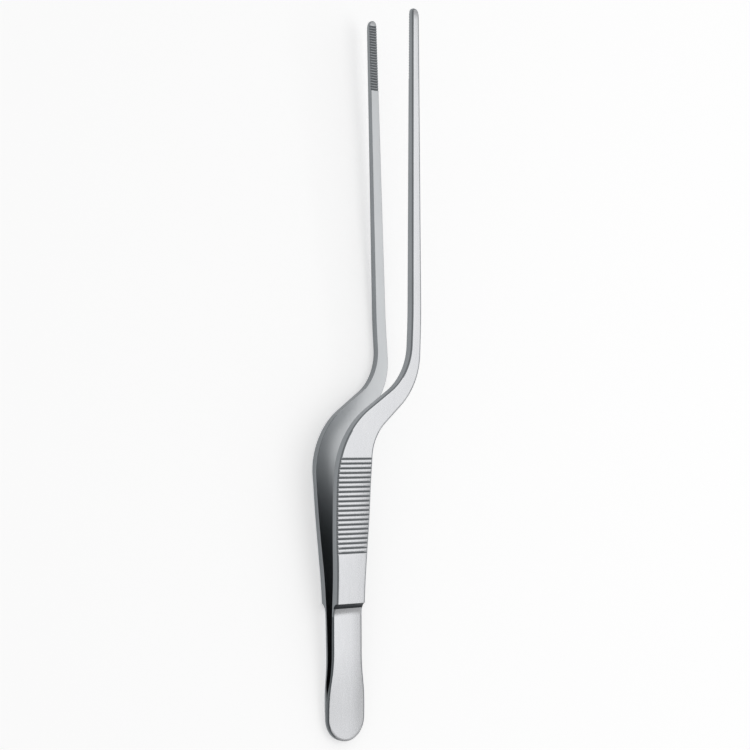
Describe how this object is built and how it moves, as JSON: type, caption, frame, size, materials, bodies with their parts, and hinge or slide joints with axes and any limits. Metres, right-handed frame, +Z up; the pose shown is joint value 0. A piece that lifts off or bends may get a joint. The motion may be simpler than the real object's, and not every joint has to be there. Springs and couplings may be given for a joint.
{
  "type": "ear dressing forceps",
  "caption": "Bayonet ear dressing forceps: two slim sprung limbs joined at a flat tail, with grooved grips, offset shanks and serrated jaws.",
  "frame": {"origin": "under the centre of the bounding box, on the surface that the forceps lies on", "axes": "+X along the instrument towards the tips, +Z up and in the opening direction, the shanks offset towards -Y"},
  "size_m": [0.1602, 0.0222, 0.0201],
  "materials": {
    "satin_steel": "satin ground stainless steel"
  },
  "bodies": {
    "tail": {"welded_tail": "satin_steel"},
    "upper_limb": {"upper_arm": "satin_steel"},
    "lower_limb": {"lower_arm": "satin_steel"}
  },
  "joints": [
    {"name": "upper_spring", "type": "hinge", "parent": "tail", "child": "upper_limb", "pos_m": [-0.07128, 0.0062, 0.00144], "axis": [0, 1, 0], "range_deg": [0, 2.59], "stiffness_Nm_per_rad": 4},
    {"name": "lower_spring", "type": "hinge", "parent": "tail", "child": "lower_limb", "pos_m": [-0.07128, 0.0062, 0.00136], "axis": [0, -1, 0], "range_deg": [0, 2.59], "stiffness_Nm_per_rad": 4}
  ]
}
